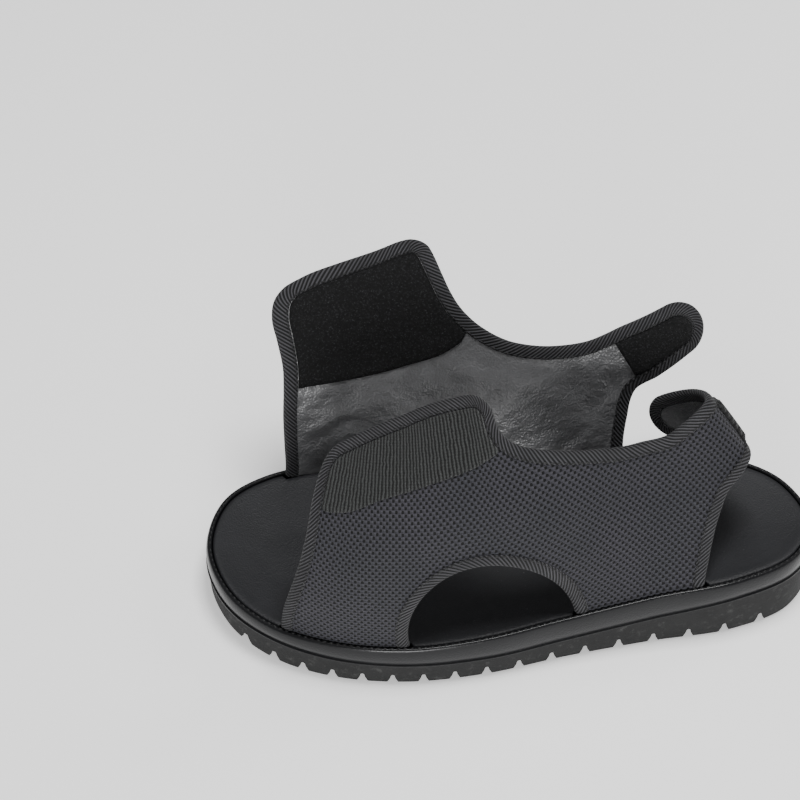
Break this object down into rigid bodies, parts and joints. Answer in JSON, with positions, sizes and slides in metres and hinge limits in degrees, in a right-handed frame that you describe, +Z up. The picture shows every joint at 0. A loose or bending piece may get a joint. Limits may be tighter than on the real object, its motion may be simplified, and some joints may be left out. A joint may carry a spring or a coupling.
{
  "type": "extra wide sandal",
  "caption": "Extra wide open-toe recovery sandal, left foot, standing empty with its front flap and heel straps undone, arched cut-outs at both sides and a grooved sole.",
  "frame": {"origin": "on the ground, under the middle of the overall length and width", "axes": "-X towards the toe, +Y towards the medial side where the big toe lies, +Z up"},
  "size_m": [0.285, 0.1572, 0.1359],
  "materials": {
    "outsole": "matt",
    "rand": "satin",
    "footbed": "fine grain",
    "mesh": "coarse mesh",
    "tape": "twill",
    "loop": "ribbed loop pile",
    "hook": "hook pile"
  },
  "bodies": {
    "root": {"outsole": "outsole", "midsole": "rand", "footbed": "footbed", "quarter_lateral": "mesh", "quarter_medial": "mesh", "tape_lateral_edge": "tape", "tape_lateral_arch": "tape", "tape_medial_edge": "tape", "tape_medial_arch": "tape", "patch_front_loop": "loop", "patch_front_hook": "hook", "patch_heel_loop": "loop", "patch_heel_hook": "hook"}
  },
  "joints": []
}
